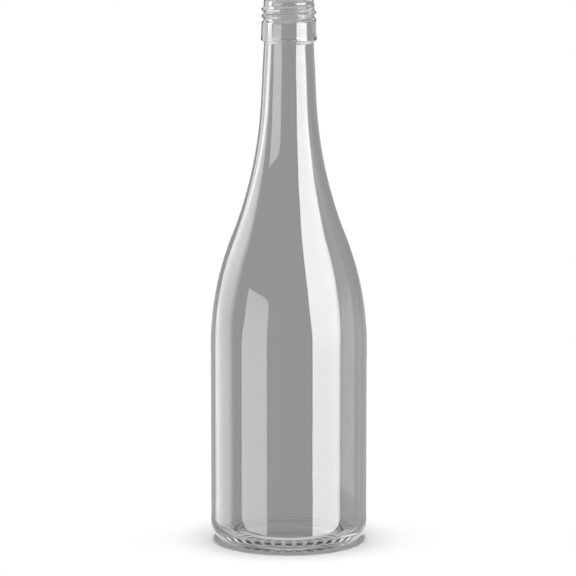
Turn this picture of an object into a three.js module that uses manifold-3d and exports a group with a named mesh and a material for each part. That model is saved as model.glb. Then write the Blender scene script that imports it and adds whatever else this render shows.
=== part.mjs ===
// A burgundy wine bottle of clear glass with a screw finish, moulded in one piece.
// Millimetres, +Z up. The origin is the centre of the ring that the bottle stands on.

import * as THREE from 'three';
import { mergeVertices } from 'three/addons/utils/BufferGeometryUtils.js';
import Module from 'manifold-3d';

// Body and shoulder
const bottleHeight = 289.5;
const bodyRadius = 41.5;
const bodyWall = 2.7;
const shoulderStart = 105; // height where the straight body ends
const shoulderRadius = 158; // the convex sweep over the shoulder

// Neck
const flareRadius = 223; // the concave sweep from the shoulder up into the neck
const neckRadius = 13; // at its narrowest, where it meets the collar
const neckWall = 3.7;
const neckTaper = THREE.MathUtils.degToRad(3);

// Collar, the band under the thread that the closure is tucked in below
const collarDrop = 23; // from the lip down to the collar's lower edge
const collarHeight = 11;
const collarRadius = 14.7; // at its lower edge
const collarTopRadius = 14.2;
const collarLowerEdge = 1.2; // radius of the rounded lower edge
const collarUpperEdge = 0.6;

// Thread and lip
const finishRadius = 13.15; // the plain glass that the thread stands on
const threadHeight = 1.3;
const threadPitch = 3.6;
const threadTurns = 2.6;
const threadDrop = 13.1; // from the lip down to the centre of the thread's first turn
const threadStartAngle = Math.PI; // the thread leaves the collar on the -X side
const threadRunOut = 0.4; // turns over which each end sinks back into the wall
const lipOuterEdge = 2.3;
const lipInnerEdge = 0.7;

// Base
const heelRadius = 10;
const bearingWidth = 2.2; // the flat ring that touches the table
const bearingInnerEdge = 1.2;
const puntDepth = 5.5;
const baseThickness = 3.6; // glass over the middle of the punt
const floorDish = 4.1; // rise of the inside floor from its edge to its middle
const innerHeelRadius = 6;

// Facets
const roundSides = 48;
const threadSides = 10;
const threadStepsPerTurn = 26;
const cutMargin = 2; // how far the cavity runs out past the lip

const wasm = await Module();
wasm.setup();

// An arc in the (radius, height) plane, as a short row of points.
function arc(centreR, centreZ, radius, startAngle, endAngle, steps) {
  const clockwise = endAngle < startAngle;
  const curve = new THREE.EllipseCurve(
    centreR, centreZ, radius, radius, startAngle, endAngle, clockwise);
  return curve.getPoints(steps);
}

// The flank of a bottle, from the top of the straight body up into the neck. A convex arc
// over the shoulder and a concave arc below the neck meet on a common tangent, and the
// concave arc runs out into the tapered line of the neck.
function sweptFlank({ body, start, shoulder, flare, neck, neckTop }) {
  const shoulderCentre = new THREE.Vector2(body - shoulder, start);
  const upNeck = new THREE.Vector2(-Math.sin(neckTaper), Math.cos(neckTaper));
  const outOfNeck = new THREE.Vector2(upNeck.y, -upNeck.x);
  const onNeckOffset = new THREE.Vector2(neck, neckTop).addScaledVector(outOfNeck, flare);
  const fromShoulder = onNeckOffset.clone().sub(shoulderCentre);
  const along = fromShoulder.dot(upNeck);
  const across = fromShoulder.dot(outOfNeck);
  const climb = Math.sqrt((shoulder + flare) ** 2 - across ** 2);
  const flareCentre = onNeckOffset.addScaledVector(upNeck, climb - along);
  const meetingAngle = flareCentre.clone().sub(shoulderCentre).angle();
  return [
    ...arc(shoulderCentre.x, shoulderCentre.y, shoulder, 0, meetingAngle, 9),
    ...arc(flareCentre.x, flareCentre.y, flare, Math.PI + meetingAngle, Math.PI + neckTaper, 8)
      .slice(1),
  ];
}

// Half of a spherical dish from its middle on the axis to its rim.
function dish(rimRadius, rimHeight, depth, steps) {
  const radius = (rimRadius ** 2 + depth ** 2) / (2 * depth);
  const rimAngle = Math.asin(rimRadius / radius);
  const quarter = Math.PI / 2;
  return arc(0, rimHeight + depth - radius, radius, quarter, quarter - rimAngle, steps);
}

// Turns an outline round the Z axis. The outline starts and ends on that axis.
function revolve(outline) {
  const geometry = new THREE.LatheGeometry(outline, roundSides);
  return geometry.rotateX(Math.PI / 2);
}

// The outside of the glass: punt, bearing ring, heel, body, shoulder, neck, collar and lip.
function outsideOutline() {
  const quarter = Math.PI / 2;
  const bearingOuter = bodyRadius - heelRadius;
  const bearingInner = bearingOuter - bearingWidth;
  const puntRim = bearingInner - bearingInnerEdge;
  const collarBottom = bottleHeight - collarDrop;
  const collarTop = collarBottom + collarHeight;
  const lipRadius = finishRadius - lipOuterEdge;
  return [
    ...dish(puntRim, bearingInnerEdge, puntDepth - bearingInnerEdge, 5),
    ...arc(bearingInner, bearingInnerEdge, bearingInnerEdge, Math.PI, 3 * quarter, 2).slice(1),
    ...arc(bearingOuter, heelRadius, heelRadius, -quarter, 0, 6),
    ...sweptFlank({
      body: bodyRadius,
      start: shoulderStart,
      shoulder: shoulderRadius,
      flare: flareRadius,
      neck: neckRadius,
      neckTop: collarBottom,
    }),
    new THREE.Vector2(neckRadius, collarBottom),
    ...arc(collarRadius - collarLowerEdge, collarBottom + collarLowerEdge, collarLowerEdge,
      -quarter, 0, 3),
    ...arc(collarTopRadius - collarUpperEdge, collarTop - collarUpperEdge, collarUpperEdge,
      0, quarter, 2),
    new THREE.Vector2(finishRadius, collarTop),
    ...arc(lipRadius, bottleHeight - lipOuterEdge, lipOuterEdge, 0, quarter, 4),
    new THREE.Vector2(0, bottleHeight),
  ];
}

// The hollow inside: dished floor, inner heel, body, shoulder, neck, bore and the mouth's
// rounded edge. It runs on past the lip, so that the cut leaves the mouth open.
function cavityOutline() {
  const quarter = Math.PI / 2;
  const innerBody = bodyRadius - bodyWall;
  const bore = neckRadius - neckWall;
  const floorMiddle = puntDepth + baseThickness;
  const floorEdge = floorMiddle - floorDish;
  const heelCentre = innerBody - innerHeelRadius;
  return [
    ...dish(heelCentre, floorEdge, floorDish, 4),
    ...arc(heelCentre, floorEdge + innerHeelRadius, innerHeelRadius, -quarter, 0, 5).slice(1),
    ...sweptFlank({
      body: innerBody,
      start: shoulderStart,
      shoulder: shoulderRadius - bodyWall,
      flare: flareRadius + neckWall,
      neck: bore,
      neckTop: bottleHeight - collarDrop,
    }),
    new THREE.Vector2(bore, bottleHeight - collarDrop),
    ...arc(bore + lipInnerEdge, bottleHeight - lipInnerEdge, lipInnerEdge, Math.PI, quarter, 3),
    new THREE.Vector2(bore + lipInnerEdge, bottleHeight + cutMargin),
    new THREE.Vector2(0, bottleHeight + cutMargin),
  ];
}

// The centre line of the right-hand thread. It climbs one pitch a turn, and each of its ends
// sinks into the wall, the lower one into the collar.
class ThreadLine extends THREE.Curve {
  getPoint(t, target = new THREE.Vector3()) {
    const turn = t * threadTurns;
    const nearestEnd = Math.min(turn, threadTurns - turn);
    const sink = 1 - THREE.MathUtils.smoothstep(nearestEnd, 0, threadRunOut);
    const radius = finishRadius - threadHeight * sink;
    const angle = threadStartAngle + turn * 2 * Math.PI;
    const height = bottleHeight - threadDrop + turn * threadPitch;
    return target.set(radius * Math.cos(angle), radius * Math.sin(angle), height);
  }
}

// The thread as one round bead, half sunk in the wall.
function threadBead() {
  const section = new THREE.Shape().absarc(0, 0, threadHeight, 0, 2 * Math.PI);
  return new THREE.ExtrudeGeometry(section, {
    extrudePath: new ThreadLine(),
    steps: Math.round(threadTurns * threadStepsPerTurn),
    curveSegments: threadSides / 2,
  });
}

// A closed surface as a solid that can be joined and cut. Triangles that close to a line on
// the axis are left out.
function solidOf(geometry) {
  geometry.deleteAttribute('normal');
  geometry.deleteAttribute('uv');
  const welded = mergeVertices(geometry);
  const corners = welded.index.array;
  const triangles = [];
  for (let i = 0; i < corners.length; i += 3) {
    const [a, b, c] = corners.slice(i, i + 3);
    if (a !== b && b !== c && c !== a) triangles.push(a, b, c);
  }
  return new wasm.Manifold(new wasm.Mesh({
    numProp: 3,
    vertProperties: welded.attributes.position.array,
    triVerts: new Uint32Array(triangles),
  }));
}

function geometryOf(solid) {
  const { vertProperties, triVerts } = solid.getMesh();
  const geometry = new THREE.BufferGeometry();
  geometry.setAttribute('position', new THREE.BufferAttribute(vertProperties, 3));
  geometry.setIndex(new THREE.BufferAttribute(triVerts, 1));
  geometry.computeVertexNormals();
  return geometry;
}

// The bottle: the outer form with its thread, hollowed by the cavity.
function glassBottle() {
  const outside = solidOf(revolve(outsideOutline()));
  const thread = solidOf(threadBead());
  const cavity = solidOf(revolve(cavityOutline()));
  const glass = new THREE.MeshStandardMaterial({
    color: 0xdde3e0,
    roughness: 0.03,
    metalness: 0,
    transparent: true,
    opacity: 0.35,
  });
  const bottle = new THREE.Mesh(geometryOf(outside.add(thread).subtract(cavity)), glass);
  bottle.name = 'glass_bottle';
  return bottle;
}

const burgundyBottle = new THREE.Group();
burgundyBottle.add(glassBottle());

export default burgundyBottle;
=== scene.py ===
from math import asin, atan2, cos, pi, radians, sin, sqrt, tan

import bpy
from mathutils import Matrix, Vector


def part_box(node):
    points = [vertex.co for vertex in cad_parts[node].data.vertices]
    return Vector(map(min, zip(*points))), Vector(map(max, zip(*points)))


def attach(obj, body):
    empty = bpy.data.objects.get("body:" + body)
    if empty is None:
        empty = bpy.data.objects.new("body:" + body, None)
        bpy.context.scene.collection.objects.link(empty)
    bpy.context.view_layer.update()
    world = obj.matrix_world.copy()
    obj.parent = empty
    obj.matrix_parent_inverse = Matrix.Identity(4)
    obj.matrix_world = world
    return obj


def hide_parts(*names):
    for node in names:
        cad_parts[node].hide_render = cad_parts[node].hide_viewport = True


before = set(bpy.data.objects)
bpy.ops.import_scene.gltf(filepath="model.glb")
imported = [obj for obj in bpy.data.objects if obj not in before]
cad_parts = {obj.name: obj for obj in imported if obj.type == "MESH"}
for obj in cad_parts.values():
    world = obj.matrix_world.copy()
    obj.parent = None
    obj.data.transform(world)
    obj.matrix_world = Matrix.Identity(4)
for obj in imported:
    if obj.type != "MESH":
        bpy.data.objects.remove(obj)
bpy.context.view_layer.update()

# Camera. A long lens a little above the bottle's mouth and looking slightly down, so that the
# base shows as an open ellipse and the collar as a nearly flat one. Light is followed through
# many faces of glass.
mm = 0.001
camera_distance = 1740 * mm
camera_height = 400 * mm
aim_height = 135.8 * mm
aim_side = -0.43 * mm
focal_length = 207.35
sensor_width = 36
most_bounces = 32
most_reflections = 24

camera_data = bpy.data.cameras.new("camera")
camera_data.lens = focal_length
camera_data.sensor_width = sensor_width
camera = bpy.data.objects.new("camera", camera_data)
camera.location = (aim_side, -camera_distance, camera_height)
line_of_sight = Vector((aim_side, 0, aim_height)) - camera.location
camera.rotation_euler = line_of_sight.to_track_quat("-Z", "Y").to_euler()
bpy.context.scene.collection.objects.link(camera)
bpy.context.scene.camera = camera
bpy.context.scene.view_settings.view_transform = "Standard"
bpy.context.scene.cycles.max_bounces = most_bounces
bpy.context.scene.cycles.glossy_bounces = most_reflections
bpy.context.scene.cycles.transmission_bounces = most_bounces
bpy.context.scene.cycles.caustics_refractive = True
bpy.context.scene.cycles.caustics_reflective = False


# Glass bottle. One gob of clear soda-lime glass, pressed and blown in a two-part mould, with
# the thread and collar formed in the neck ring. The outline runs from the middle of the punt
# up the outside to the lip, and down the inside to the middle of the floor.
bottle_low, bottle_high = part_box("glass_bottle")
bottle_height = bottle_high.z
body_radius = (bottle_high.x - bottle_low.x) / 2
body_wall = 2.7 * mm
shoulder_start = 105 * mm
shoulder_sweep = 158 * mm
flare_sweep = 223 * mm
neck_radius = 13 * mm
neck_wall = 3.7 * mm
neck_taper = radians(3)
bore = neck_radius - neck_wall

collar_drop = 23 * mm
collar_height = 11 * mm
collar_radius = 14.7 * mm
collar_top_radius = 14.2 * mm
collar_sweep_below = 0.7 * mm
collar_sweep_above = 1.3 * mm
collar_shelf = 1.1 * mm
collar_bottom = bottle_height - collar_drop
collar_top = collar_bottom + collar_height
shelf_start = collar_top - collar_shelf / 2

finish_radius = 13.15 * mm
thread_height = 1.3 * mm
thread_half_width = 1.65 * mm
thread_pitch = 3.6 * mm
thread_turns = 2.6
thread_drop = 13.1 * mm
thread_start_angle = pi
thread_run_out = 0.4
thread_root_fillet = 0.22 * mm
lip_outer_edge = 2.3 * mm
lip_inner_edge = 0.7 * mm
lip_start = bottle_height - lip_outer_edge

heel_radius = 10 * mm
bearing_width = 2.2 * mm
bearing_inner_edge = 1.2 * mm
bearing_outer = body_radius - heel_radius
bearing_inner = bearing_outer - bearing_width
punt_depth = 5.5 * mm
base_thickness = 3.6 * mm
floor_dish = 4.1 * mm
inner_heel_radius = 6 * mm

knurl_count = 36
knurl_depth = 0.5 * mm
knurl_middle = 33 * mm
knurl_half_length = 4.6 * mm
knurl_end = 0.9 * mm
knurl_flat = 0.1

punt_rows = 16
bearing_edge_rows = 6
bearing_rows = 8
heel_rows = 40
wall_rows = 12
sweep_rows = 30
neck_rows = 3
underside_rows = 16
collar_rows = 8
finish_row_height = 0.2 * mm
lip_rows = 8
mouth_rows = 6
inner_heel_rows = 14
floor_rows = 12
sides = 8 * knurl_count


def arc(centre_r, centre_z, radius, start, end, steps):
    """Points (radius, height) along an arc, ends included."""
    turns = [start + (end - start) * i / steps for i in range(steps + 1)]
    return [(centre_r + radius * cos(a), centre_z + radius * sin(a)) for a in turns]


def swept_flank(body, shoulder, flare, neck, neck_top):
    """The convex shoulder and the concave flare on a common tangent, up to the neck's taper."""
    up = (-sin(neck_taper), cos(neck_taper))
    out = (up[1], -up[0])
    centre_r = body - shoulder
    offset_r = neck + out[0] * flare
    offset_z = neck_top + out[1] * flare
    away_r, away_z = offset_r - centre_r, offset_z - shoulder_start
    along = away_r * up[0] + away_z * up[1]
    across = away_r * out[0] + away_z * out[1]
    climb = sqrt((shoulder + flare) ** 2 - across**2) - along
    flare_r, flare_z = offset_r + up[0] * climb, offset_z + up[1] * climb
    meeting = atan2(flare_z - shoulder_start, flare_r - centre_r)
    convex = arc(centre_r, shoulder_start, shoulder, 0, meeting, sweep_rows)
    concave = arc(flare_r, flare_z, flare, pi + meeting, pi + neck_taper, sweep_rows)
    return convex + concave[1:]


def dish(rim_radius, rim_height, depth, steps):
    """Half of a shallow spherical dish, from its middle to its rim."""
    radius = (rim_radius**2 + depth**2) / (2 * depth)
    rim_angle = asin(rim_radius / radius)
    return arc(0, rim_height + depth - radius, radius, pi / 2, pi / 2 - rim_angle, steps)


def straight(start, end, steps):
    """Points along a line, both ends left out."""
    rise_r, rise_z = end[0] - start[0], end[1] - start[1]
    shares = [i / steps for i in range(1, steps)]
    return [(start[0] + rise_r * share, start[1] + rise_z * share) for share in shares]


def smoothstep(value, low, high):
    """A soft step from 0 at the low value to 1 at the high one."""
    share = min(max((value - low) / (high - low), 0), 1)
    return share * share * (3 - 2 * share)


def finish_outline():
    """The plain finish above the collar's upper edge, in rows that can carry the thread."""
    row_count = round((lip_start - shelf_start) / finish_row_height)
    heights = [shelf_start + (lip_start - shelf_start) * i / row_count for i in range(row_count)]
    drop = collar_top_radius - finish_radius
    return [
        (collar_top_radius - drop * smoothstep(z, shelf_start, shelf_start + collar_shelf), z)
        for z in heights
    ]


def collar_underside():
    """The soft step from the tapered neck out to the collar's lower edge."""
    low, high = collar_bottom - collar_sweep_below, collar_bottom + collar_sweep_above
    points = []
    for i in range(underside_rows + 1):
        z = low + (high - low) * i / underside_rows
        neck = neck_radius + (collar_bottom - z) * tan(neck_taper)
        points.append((neck + (collar_radius - neck) * smoothstep(z, low, high), z))
    return points


def outside_outline():
    """From the middle of the punt up to the outer edge of the lip's land."""
    punt_rim = bearing_inner - bearing_inner_edge
    heel = arc(bearing_outer, heel_radius, heel_radius, -pi / 2, 0, heel_rows)
    flank = swept_flank(body_radius, shoulder_sweep, flare_sweep, neck_radius, collar_bottom)
    underside = collar_underside()
    return [
        *dish(punt_rim, bearing_inner_edge, punt_depth - bearing_inner_edge, punt_rows),
        *arc(bearing_inner, bearing_inner_edge, bearing_inner_edge, pi, 3 * pi / 2,
             bearing_edge_rows)[1:],
        *straight((bearing_inner, 0), (bearing_outer, 0), bearing_rows),
        *heel,
        *straight(heel[-1], flank[0], wall_rows),
        *flank,
        *straight(flank[-1], underside[0], neck_rows),
        *underside,
        *straight(underside[-1], (collar_top_radius, shelf_start), collar_rows),
        *finish_outline(),
        *arc(finish_radius - lip_outer_edge, lip_start, lip_outer_edge, 0, pi / 2, lip_rows),
    ]


def inside_outline():
    """From the inner edge of the lip's land down to the middle of the floor."""
    inner_body = body_radius - body_wall
    floor_edge = punt_depth + base_thickness - floor_dish
    heel_centre = inner_body - inner_heel_radius
    heel_top = floor_edge + inner_heel_radius
    mouth_start = bottle_height - lip_inner_edge
    heel = arc(heel_centre, heel_top, inner_heel_radius, -pi / 2, 0, inner_heel_rows)
    flank = swept_flank(
        inner_body, shoulder_sweep - body_wall, flare_sweep + neck_wall, bore, collar_bottom)
    upward = [
        *dish(heel_centre, floor_edge, floor_dish, floor_rows),
        *heel[1:],
        *straight(heel[-1], flank[0], wall_rows),
        *flank,
        *straight(flank[-1], (bore, collar_bottom), neck_rows),
        (bore, collar_bottom),
        *straight((bore, collar_bottom), (bore, mouth_start), neck_rows),
        *arc(bore + lip_inner_edge, mouth_start, lip_inner_edge, pi, pi / 2, mouth_rows),
    ]
    return upward[::-1]


def thread_radius(angle, height, plain_radius):
    """The finish with its right-hand thread, run smoothly into the glass that it stands on."""
    radius = plain_radius
    part_turn = ((angle - thread_start_angle) / (2 * pi)) % 1
    for whole_turn in range(int(thread_turns) + 1):
        turn = part_turn + whole_turn
        rise = height - (bottle_height - thread_drop + turn * thread_pitch)
        if turn > thread_turns or abs(rise) > thread_half_width:
            continue
        fade = smoothstep(min(turn, thread_turns - turn), 0, thread_run_out)
        bead = cos(pi * rise / (2 * thread_half_width)) ** 2
        crest = finish_radius + thread_height * fade * bead
        radius = (radius + crest + sqrt((radius - crest) ** 2 + thread_root_fillet**2)) / 2
    return radius


def knurl_wave(angle):
    """0 on each knurl of the bearing ring and 1 midway between two."""
    return 0.5 - 0.5 * cos(knurl_count * angle)


def knurl_rise(angle, radius):
    """How far the glass stands off the table between the knurls."""
    off_middle = abs(radius - knurl_middle)
    reach = 1 - smoothstep(off_middle, knurl_half_length - knurl_end, knurl_half_length)
    return knurl_depth * reach * smoothstep(knurl_wave(angle), knurl_flat, 1 - knurl_flat)


def bottle_mesh():
    """The outline turned round the axis, with the thread and the knurls worked into it."""
    first_pole, *rings, last_pole = outside_outline() + inside_outline()
    corners = [(0, 0, first_pole[1])]
    for radius, height in rings:
        on_finish = collar_top - collar_shelf < height < lip_start
        threaded = on_finish and radius > bore + lip_inner_edge
        on_bearing = height < base_thickness
        for side in range(sides):
            angle = 2 * pi * side / sides
            r = thread_radius(angle, height, radius) if threaded else radius
            z = height + (knurl_rise(angle, radius) if on_bearing else 0)
            corners.append((r * cos(angle), r * sin(angle), z))
    corners.append((0, 0, last_pole[1]))
    faces = []
    for side in range(sides):
        following = (side + 1) % sides
        faces.append((0, 1 + following, 1 + side))
        for ring in range(len(rings) - 1):
            low, high = 1 + ring * sides, 1 + (ring + 1) * sides
            faces.append((low + side, low + following, high + following, high + side))
        last = 1 + (len(rings) - 1) * sides
        faces.append((last + side, last + following, len(corners) - 1))
    mesh = bpy.data.meshes.new("moulded_bottle")
    mesh.from_pydata(corners, [], faces)
    mesh.shade_smooth()
    return mesh


glass_index = 1.52
palest_tint = (1, 1, 1, 1)
deepest_tint = (0.985, 0.992, 0.988, 1)
dullest_polish = 0.008
ripple_strength = 0.5
ripple_height = 0.07 * mm
upward_stretch = (1, 1, 0.4)
tint_per_metre = 25
polish_per_metre = 180
ripple_per_metre = 60
pattern_detail = 2


def flint_glass():
    """Clear glass with the faint long ripple that the mould and the cooling leave in it."""
    material = bpy.data.materials.new("flint_glass")
    material.use_nodes = True
    nodes, links = material.node_tree.nodes, material.node_tree.links
    shader = nodes["Principled BSDF"]
    shader.inputs["IOR"].default_value = glass_index
    shader.inputs["Transmission Weight"].default_value = 1
    place = nodes.new("ShaderNodeTexCoord")
    stretch = nodes.new("ShaderNodeMapping")
    stretch.inputs["Scale"].default_value = upward_stretch
    links.new(place.outputs["Object"], stretch.inputs["Vector"])

    def pattern(per_metre, low, high):
        noise = nodes.new("ShaderNodeTexNoise")
        noise.inputs["Scale"].default_value = per_metre
        noise.inputs["Detail"].default_value = pattern_detail
        spread = nodes.new("ShaderNodeMapRange")
        spread.inputs["To Min"].default_value = low
        spread.inputs["To Max"].default_value = high
        links.new(stretch.outputs["Vector"], noise.inputs["Vector"])
        links.new(noise.outputs["Fac"], spread.inputs["Value"])
        return spread.outputs["Result"]

    tint = nodes.new("ShaderNodeMix")
    tint.data_type = "RGBA"
    tint.inputs["A"].default_value = deepest_tint
    tint.inputs["B"].default_value = palest_tint
    links.new(pattern(tint_per_metre, 0, 1), tint.inputs["Factor"])
    links.new(tint.outputs["Result"], shader.inputs["Base Color"])
    links.new(pattern(polish_per_metre, 0, dullest_polish), shader.inputs["Roughness"])
    ripple = nodes.new("ShaderNodeBump")
    ripple.inputs["Strength"].default_value = ripple_strength
    ripple.inputs["Distance"].default_value = ripple_height
    links.new(pattern(ripple_per_metre, 0, 1), ripple.inputs["Height"])
    links.new(ripple.outputs["Normal"], shader.inputs["Normal"])
    return material


moulded_bottle = bpy.data.objects.new("moulded_bottle", bottle_mesh())
bpy.context.scene.collection.objects.link(moulded_bottle)
moulded_bottle.data.materials.append(flint_glass())
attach(moulded_bottle, "root")
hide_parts("glass_bottle")


# Floor. A wide bench top painted matt white, level with the bearing ring. It takes the
# bottle's soft shadow. The glass doesn't show it: the cards further down stand for what
# the glass would show.
floor_half = 6.0
floor_white = (0.93, 0.93, 0.93, 1)
floor_roughness = 0.9
floor_mesh = bpy.data.meshes.new("floor")
floor_mesh.from_pydata(
    [(-floor_half, -floor_half, 0), (floor_half, -floor_half, 0),
     (floor_half, floor_half, 0), (-floor_half, floor_half, 0)],
    [], [(0, 1, 2, 3)])
floor = bpy.data.objects.new("floor", floor_mesh)
bpy.context.scene.collection.objects.link(floor)
floor_paint = bpy.data.materials.new("floor_paint")
floor_paint.use_nodes = True
floor_shader = floor_paint.node_tree.nodes["Principled BSDF"]
floor_shader.inputs["Base Color"].default_value = floor_white
floor_shader.inputs["Roughness"].default_value = floor_roughness
floor_shader.inputs["Specular IOR Level"].default_value = 0.0
floor_mesh.materials.append(floor_paint)
floor.visible_glossy = False
floor.visible_transmission = False


# Grey surround. A matt grey card all round the bottle, out of the camera's sight: it is what
# the clear glass shows through itself and at its edges. What the floor gets through the glass
# is an even white light instead.
surround_radius = 12
surround_segments = 64
surround_grey = 0.30
light_onto_floor = 1.0


def glow(name, level):
    """An evenly lit card. Paths that come from the floor see it white."""
    material = bpy.data.materials.new(name)
    material.use_nodes = True
    nodes, links = material.node_tree.nodes, material.node_tree.links
    nodes.clear()
    output = nodes.new("ShaderNodeOutputMaterial")
    light = nodes.new("ShaderNodeEmission")
    light.inputs["Color"].default_value = (1, 1, 1, 1)
    path = nodes.new("ShaderNodeLightPath")
    strength = nodes.new("ShaderNodeMix")
    strength.name = "strength"
    strength.inputs["A"].default_value = level
    strength.inputs["B"].default_value = light_onto_floor
    links.new(path.outputs["Diffuse Depth"], strength.inputs["Factor"])
    links.new(strength.outputs["Result"], light.inputs["Strength"])
    links.new(light.outputs["Emission"], output.inputs["Surface"])
    return material


def seen_only_in_glass(piece):
    """Hides a piece from the camera and the floor, and keeps it from casting a shadow."""
    piece.visible_camera = False
    piece.visible_diffuse = False
    piece.visible_shadow = False
    piece.visible_volume_scatter = False


bpy.ops.mesh.primitive_uv_sphere_add(
    segments=surround_segments, ring_count=surround_segments // 2, radius=surround_radius)
surround = bpy.context.object
surround.name = "surround"
surround.data.materials.append(glow("grey_card", surround_grey))
seen_only_in_glass(surround)


# Softboxes. Tall curved diffusers round the bottle: one in front on either side, the left one
# far off, and one behind on the left that lights the edge of the glass. Its light within the
# glass is a panel of its own.
panel_radius = 1.6
left_panel_radius = 10
panel_steps = 48
corner_sharpness = 8


def card(name, rows, outer_face=True, through_glass=True):
    """A sheet of card through rows of (point, level), seen only in the glass: reflected in
    its outer face, or through it."""
    width = len(rows[0])
    faces = []
    for i in range(1, len(rows)):
        for j in range(1, width):
            here = i * width + j
            faces.append((here - width - 1, here - width, here, here - 1))
    mesh = bpy.data.meshes.new(name)
    mesh.from_pydata([point for row in rows for point, level in row], [], faces)
    levels = [level for row in rows for point, level in row]
    mesh.attributes.new("level", "FLOAT", "POINT").data.foreach_set("value", levels)
    material = glow(name, 1)
    nodes, links = material.node_tree.nodes, material.node_tree.links
    level_here = nodes.new("ShaderNodeAttribute")
    level_here.attribute_name = "level"
    links.new(level_here.outputs["Fac"], nodes["strength"].inputs["A"])
    mesh.materials.append(material)
    piece = bpy.data.objects.new(name, mesh)
    bpy.context.scene.collection.objects.link(piece)
    seen_only_in_glass(piece)
    piece.visible_glossy = outer_face
    piece.visible_transmission = through_glass


def softbox(name, up, gain=0, edge_share=1, edge_width=0.25, radius=panel_radius, **seen):
    """A panel bent round the bottle. Each row of up is a height, a level, and the first and last
    angle from the camera's side. After these a row may give how far it rises towards the last
    angle, in its last corner and in its first. The light gains a share towards the last angle,
    and falls to the edge's share over the edge's width."""
    rows = []
    for height, level, first, last, *rises in up:
        lean, last_corner, first_corner = (rises + [0, 0, 0])[:3]
        row = []
        for j in range(panel_steps + 1):
            along = j / panel_steps
            turn = radians(first + (last - first) * along)
            share = 1 + gain * along
            share += (edge_share - share) * smoothstep(along, 1 - edge_width, 1)
            z = height + lean * along
            z += last_corner * along**corner_sharpness
            z += first_corner * (1 - along) ** corner_sharpness
            row.append(((radius * sin(turn), -radius * cos(turn), z), level * share))
        rows.append(row)
    card(name, rows, **seen)


softbox("softbox_right", [
    (-0.379, 10.7, 35.2, 81.2, 0.016, 0.028),
    (-0.10, 12.0, 34.2, 81.2),
    (0.10, 13.2, 34.2, 82),
    (0.30, 13.0, 32.0, 83),
    (0.50, 13.6, 30.8, 84),
    (0.80, 13.6, 29.6, 85),
    (2.2, 13.6, 29.2, 85),
], edge_share=0.5, edge_width=0.13, through_glass=False)
softbox("softbox_left", [
    (-2.455, 5.6, -32.4, -73.7, 0.095, 0.16),
    (-1.07, 5.4, -32.4, -73.7),
    (-0.3, 5.3, -32.4, -72.6),
    (0.6, 5.3, -31.6, -69.5),
    (1.1, 5.1, -31.4, -69.2),
    (2.44, 4.6, -31.3, -68.4, 0, 0, -0.44),
], radius=left_panel_radius, through_glass=False)
softbox("softbox_rear_left", [
    (-1.2, 1.9, -140, -89),
    (-0.10, 1.95, -140, -89),
    (0.10, 2.4, -140, -89),
    (0.30, 2.8, -140, -88),
    (0.50, 3.6, -140, -87),
    (0.80, 4.0, -140, -87),
    (2.2, 4.0, -140, -87),
], gain=0.2, edge_share=0.2, edge_width=0.22, through_glass=False)
softbox("softbox_rear_left_within", [
    (-1.2, 0.5, -140, -90),
    (-0.45, 0.8, -140, -90),
    (-0.32, 1.35, -140, -90),
    (-0.12, 1.35, -140, -90),
    (0.10, 0.75, -146, -98),
    (2.2, 0.75, -146, -98),
], gain=0.2, edge_share=0.3, edge_width=0.22, outer_face=False)


# Background cards. What lies behind the bottle and shows in the glass: the bench, the pale line
# where it ends, a grey flag that hides the top of that line, and a dark ceiling.
bench_behind_radius = 2.2
bench_behind_level = 0.55
horizon_level = 0.6
flag_radius = 0.8
ceiling_level = 0.02

softbox("bench_behind", [
    (-1.2, bench_behind_level, 122, 218),
    (-0.15, bench_behind_level, 122, 218),
    (0.05, surround_grey, 122, 218),
], radius=bench_behind_radius, through_glass=False)
softbox("horizon", [
    (0.03, horizon_level, 150, 210),
    (0.14, horizon_level, 150, 210),
], outer_face=False)
softbox("horizon_flag", [
    (0.075, surround_grey, 140, 220),
    (0.4, surround_grey, 140, 220),
], radius=flag_radius, outer_face=False)
softbox("dark_ceiling", [
    (0.9, ceiling_level, 100, 260),
    (4, ceiling_level, 100, 260),
], outer_face=False)


# Top light. A round diffuser over the mouth, a grey hood above it, and pale cards bent round
# behind the finish. They light the thread and leave the rest of the bottle alone.
top_light_radius = 0.14
top_light_height = 0.32
top_light_level = 2.4
hood_radius = 0.12
hood_height = 0.42
disc_hole = 0.001
finish_card_bottom = 0.30
finish_cards = (("left", 0.8, 192, 300), ("right", 0.8, 168, 60), ("middle", 0.35, 168, 192))


def disc(name, radius, height, level, **seen):
    """A flat round card over the bottle's axis."""
    turns = [2 * pi * i / panel_steps for i in range(panel_steps + 1)]
    rows = [
        [((r * cos(turn), r * sin(turn), height), level) for turn in turns]
        for r in (disc_hole, radius)
    ]
    card(name, rows, **seen)


disc("top_light", top_light_radius, top_light_height, top_light_level, through_glass=False)
disc("hood", hood_radius, hood_height, surround_grey, outer_face=False)
for side, level, first, last in finish_cards:
    softbox("finish_card_" + side, [
        (finish_card_bottom, level, first, last),
        (hood_height, level, first, last),
    ], radius=hood_radius, outer_face=False)


# Bench under the heel. A glowing ring that stands for the bench top close under the bottle, as
# it shows in the heel, with light and shade painted into it: lit below the punt, a painted
# shadow where the knurls touch it, and white again to either side.
bench_drop = 0.05 * mm
bench_steps_per_degree = 4
front_reach = 30
side_start = 60
painted_shadow_flat = 0.25


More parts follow.
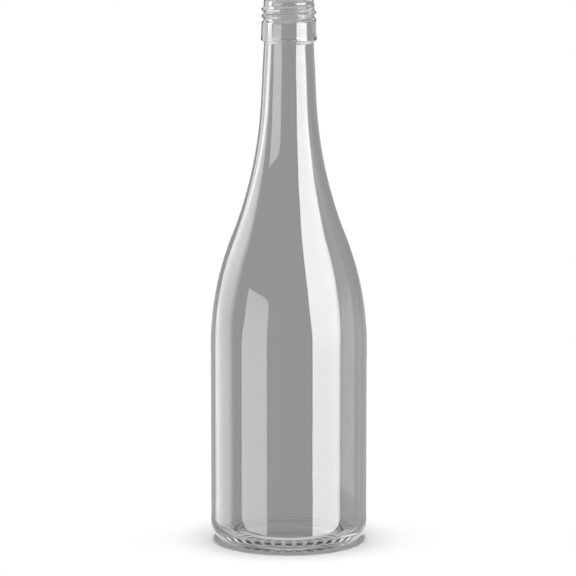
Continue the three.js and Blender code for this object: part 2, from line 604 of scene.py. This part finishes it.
def painted_bench_ring(name, reach, out, **seen):
    """A flat glowing ring just under the bench top, as far round as the reach on both sides,
    with the bench's light and shade painted into its levels. Each row of out is a radius, the
    painted level in front, the painted level at the sides, and how dark the painted shadow of
    the knurls' touch is."""
    steps = 2 * bench_steps_per_degree * reach
    rows = []
    for radius, front, beside, painted_touch_shadow in out:
        row = []
        for j in range(steps + 1):
            angle = reach * (2 * j / steps - 1)
            turn = radians(angle)
            # Painted shadow where each knurl touches the bench: 1 on a knurl, 0 midway between
            # two.
            painted_knurl_shadow = 1 - smoothstep(knurl_wave(turn), painted_shadow_flat, 1 - painted_shadow_flat)
            level = front + (beside - front) * smoothstep(abs(angle), front_reach, side_start)
            point = (radius * sin(turn), -radius * cos(turn), -bench_drop)
            row.append((point, level * (1 - painted_touch_shadow * painted_knurl_shadow)))
        rows.append(row)
    card(name, rows, **seen)


# Seen through the glass: light painted below the punt, painted shade where the bearing ring and
# its knurls touch, brighter to the sides.
painted_bench_ring("painted_bench_within", reach=90, out=[
    (20.5 * mm, surround_grey, surround_grey, 0),
    (23 * mm, 0.64, 0.64, 0),
    (29 * mm, 0.64, 0.64, 0),
    (29.5 * mm, 0.42, 1.1, 0.8),
    (34.5 * mm, 0.42, 1.1, 0.8),
    (35.5 * mm, 0.42, 0.5, 0.3),
    (41 * mm, 0.42, 0.5, 0),
    (44 * mm, surround_grey, 0.5, 0),
    (60 * mm, surround_grey, surround_grey, 0),
], outer_face=False)
# Seen in the heel's outer face: painted shadow close to where the heel touches, lighter further
# out and to the sides.
painted_bench_ring("painted_bench_outside", reach=150, out=[
    (31 * mm, 0.1, 0.6, 0),
    (41 * mm, 0.15, 1.2, 0),
    (60 * mm, 0.5, 0.8, 0),
    (80 * mm, surround_grey, surround_grey, 0),
], through_glass=False)


# World. A white room for everything that the camera, a reflection or the glass looks out into.
# The floor is lit by a soft lamp overhead and by some light from either side.
overhead_focus = 60
overhead_level = 28.8
sideways_focus = 4
sideways_level = 1.2

world = bpy.data.worlds.new("white_room")
bpy.context.scene.world = world
world.use_nodes = True
world_nodes, world_links = world.node_tree.nodes, world.node_tree.links


def world_math(operation, *values):
    """A math node on sockets or plain numbers."""
    node = world_nodes.new("ShaderNodeMath")
    node.operation = operation
    for socket, value in zip(node.inputs, values):
        if isinstance(value, (int, float)):
            socket.default_value = value
        else:
            world_links.new(value, socket)
    return node.outputs["Value"]


direction = world_nodes.new("ShaderNodeTexCoord")
axes = world_nodes.new("ShaderNodeSeparateXYZ")
world_links.new(direction.outputs["Generated"], axes.inputs["Vector"])
overhead = world_math("POWER", axes.outputs["Z"], overhead_focus)
sideways = world_math("POWER", world_math("ABSOLUTE", axes.outputs["X"]), sideways_focus)
sideways = world_math("MULTIPLY", sideways, sideways_level)
lamps = world_math("MULTIPLY_ADD", overhead, overhead_level, sideways)
path = world_nodes.new("ShaderNodeLightPath")
looked_at = world_math("ADD", path.outputs["Is Camera Ray"], path.outputs["Is Glossy Ray"])
looked_at = world_math("ADD", looked_at, path.outputs["Is Transmission Ray"])
white_or_lamps = world_nodes.new("ShaderNodeMix")
white_or_lamps.inputs["B"].default_value = 1
world_links.new(looked_at, white_or_lamps.inputs["Factor"])
world_links.new(lamps, white_or_lamps.inputs["A"])
sky = world_nodes["Background"]
sky.inputs["Color"].default_value = (1, 1, 1, 1)
world_links.new(white_or_lamps.outputs["Result"], sky.inputs["Strength"])
